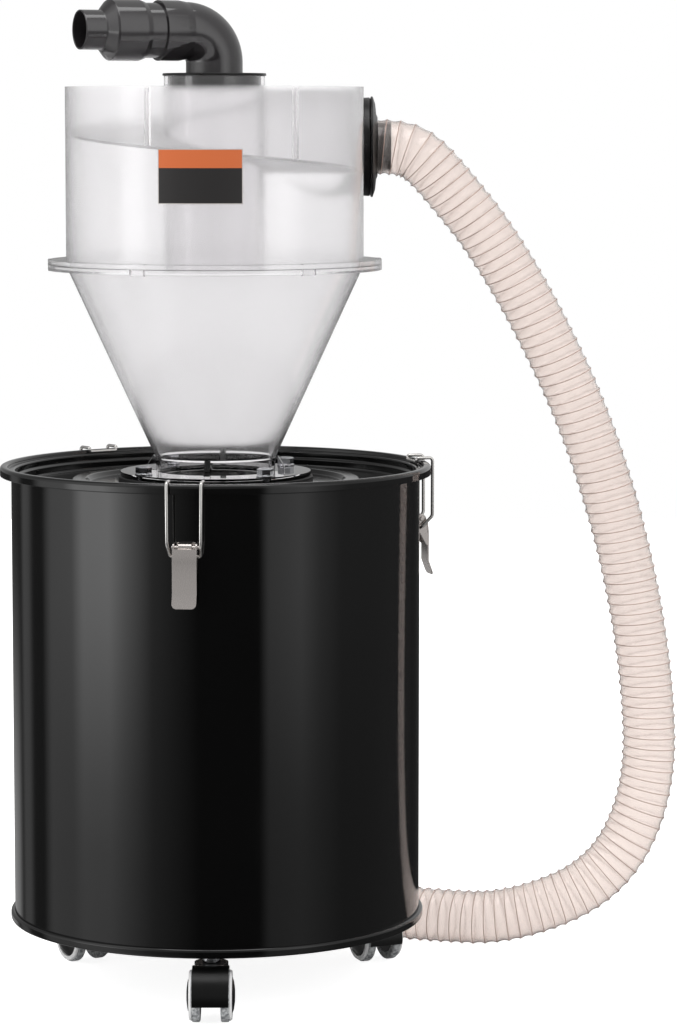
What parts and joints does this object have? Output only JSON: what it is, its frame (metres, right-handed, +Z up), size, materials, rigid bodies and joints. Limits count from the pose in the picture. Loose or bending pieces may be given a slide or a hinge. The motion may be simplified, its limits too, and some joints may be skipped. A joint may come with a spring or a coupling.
{
  "type": "cyclone dust separator",
  "caption": "Clear cyclone with a spiral roof and tangential hose inlet on a latched black drum that rolls on castors, for catching dust before a vacuum.",
  "frame": {"origin": "on the floor under the drum's axis", "axes": "+Z up; -Y is the front, with the label and the front latch; +X is the hose side"},
  "size_m": [0.6443, 0.4423, 0.9128],
  "materials": {
    "black_paint": "gloss",
    "seal_rubber": "matt",
    "clear_plastic": "clear, slightly frosted",
    "black_plastic": "satin",
    "grey_pvc": "satin",
    "hose_film": "clear film on a thin wire helix",
    "label": "printed",
    "zinc_steel": "zinc plated",
    "latch_steel": "polished",
    "hood_plastic": "satin",
    "castor_tread": "matt",
    "castor_trim": "satin"
  },
  "bodies": {
    "separator": {"drum_shell": "black_paint", "drum_base": "black_paint", "drum_lid": "black_paint", "lid_seal": "seal_rubber", "neck_gasket": "seal_rubber", "cone": "clear_plastic", "cyclone_chamber": "clear_plastic", "spiral_roof": "clear_plastic", "roof_ribs": "clear_plastic", "vortex_tube": "clear_plastic", "outlet_cap": "black_plastic", "inlet_flange": "black_plastic", "elbow": "grey_pvc", "pipe_stub": "grey_pvc", "reducer": "grey_pvc", "hose": "hose_film", "blank_label": "label", "neck_screws": "zinc_steel", "neck_nuts": "zinc_steel", "castor_stems": "zinc_steel", "castor_nuts": "zinc_steel", "latch_pins": "latch_steel", "latch_bracket_front": "latch_steel", "latch_bracket_right": "latch_steel", "latch_bracket_left": "latch_steel"},
    "lever_front": {"latch_lever_front": "latch_steel"},
    "bail_front": {"latch_bail_front": "latch_steel"},
    "lever_right": {"latch_lever_right": "latch_steel"},
    "bail_right": {"latch_bail_right": "latch_steel"},
    "lever_left": {"latch_lever_left": "latch_steel"},
    "bail_left": {"latch_bail_left": "latch_steel"},
    "castor_front": {"castor_hood_front": "hood_plastic", "castor_axle_front": "zinc_steel"},
    "wheel_front_a": {"castor_wheel_front_a": "hood_plastic", "castor_tyre_front_a": "castor_tread", "castor_trim_front_a": "castor_trim"},
    "wheel_front_b": {"castor_wheel_front_b": "hood_plastic", "castor_tyre_front_b": "castor_tread", "castor_trim_front_b": "castor_trim"},
    "castor_left": {"castor_hood_left": "hood_plastic", "castor_axle_left": "zinc_steel"},
    "wheel_left_a": {"castor_wheel_left_a": "hood_plastic", "castor_tyre_left_a": "castor_tread", "castor_trim_left_a": "castor_trim"},
    "wheel_left_b": {"castor_wheel_left_b": "hood_plastic", "castor_tyre_left_b": "castor_tread", "castor_trim_left_b": "castor_trim"},
    "castor_right": {"castor_hood_right": "hood_plastic", "castor_axle_right": "zinc_steel"},
    "wheel_right_a": {"castor_wheel_right_a": "hood_plastic", "castor_tyre_right_a": "castor_tread", "castor_trim_right_a": "castor_trim"},
    "wheel_right_b": {"castor_wheel_right_b": "hood_plastic", "castor_tyre_right_b": "castor_tread", "castor_trim_right_b": "castor_trim"}
  },
  "joints": [
    {"name": "latch_open_front", "type": "hinge", "parent": "separator", "child": "lever_front", "pos_m": [-0.02059, -0.19592, 0.429], "axis": [-0.9945, 0.1045, 0], "range_deg": [0, 120]},
    {"name": "bail_swing_front", "type": "hinge", "parent": "lever_front", "child": "bail_front", "pos_m": [-0.02043, -0.19443, 0.421], "axis": [-0.9945, 0.1045, 0], "range_deg": [-106, 0]},
    {"name": "latch_open_right", "type": "hinge", "parent": "separator", "child": "lever_right", "pos_m": [0.19029, 0.05099, 0.429], "axis": [0.2588, -0.9659, 0], "range_deg": [0, 120]},
    {"name": "bail_swing_right", "type": "hinge", "parent": "lever_right", "child": "bail_right", "pos_m": [0.18884, 0.0506, 0.421], "axis": [0.2588, -0.9659, 0], "range_deg": [-106, 0]},
    {"name": "latch_open_left", "type": "hinge", "parent": "separator", "child": "lever_left", "pos_m": [-0.11856, 0.15733, 0.429], "axis": [0.7986, 0.6018, 0], "range_deg": [0, 120]},
    {"name": "bail_swing_left", "type": "hinge", "parent": "lever_left", "child": "bail_left", "pos_m": [-0.11765, 0.15613, 0.421], "axis": [0.7986, 0.6018, 0], "range_deg": [-106, 0]},
    {"name": "castor_swivel_front", "type": "hinge", "parent": "separator", "child": "castor_front", "pos_m": [0, -0.163, 0.05], "axis": [0, 0, 1], "continuous": true},
    {"name": "wheel_spin_front_a", "type": "hinge", "parent": "castor_front", "child": "wheel_front_a", "pos_m": [0, -0.183, 0.024], "axis": [1, 0, 0], "continuous": true},
    {"name": "wheel_spin_front_b", "type": "hinge", "parent": "castor_front", "child": "wheel_front_b", "pos_m": [0, -0.183, 0.024], "axis": [1, 0, 0], "continuous": true},
    {"name": "castor_swivel_left", "type": "hinge", "parent": "separator", "child": "castor_left", "pos_m": [-0.14116, 0.0815, 0.05], "axis": [0, 0, 1], "continuous": true},
    {"name": "wheel_spin_left_a", "type": "hinge", "parent": "castor_left", "child": "wheel_left_a", "pos_m": [-0.13056, 0.06454, 0.024], "axis": [0.848, 0.5299, 0], "continuous": true},
    {"name": "wheel_spin_left_b", "type": "hinge", "parent": "castor_left", "child": "wheel_left_b", "pos_m": [-0.13056, 0.06454, 0.024], "axis": [0.848, 0.5299, 0], "continuous": true},
    {"name": "castor_swivel_right", "type": "hinge", "parent": "separator", "child": "castor_right", "pos_m": [0.14116, 0.0815, 0.05], "axis": [0, 0, 1], "continuous": true},
    {"name": "wheel_spin_right_a", "type": "hinge", "parent": "castor_right", "child": "wheel_right_a", "pos_m": [0.14961, 0.06337, 0.024], "axis": [0.9063, 0.4226, 0], "continuous": true},
    {"name": "wheel_spin_right_b", "type": "hinge", "parent": "castor_right", "child": "wheel_right_b", "pos_m": [0.14961, 0.06337, 0.024], "axis": [0.9063, 0.4226, 0], "continuous": true}
  ],
  "couplings": [
    {"joint": "bail_swing_front", "follows": "latch_open_front", "ratio": -0.88},
    {"joint": "bail_swing_right", "follows": "latch_open_right", "ratio": -0.88},
    {"joint": "bail_swing_left", "follows": "latch_open_left", "ratio": -0.88}
  ]
}
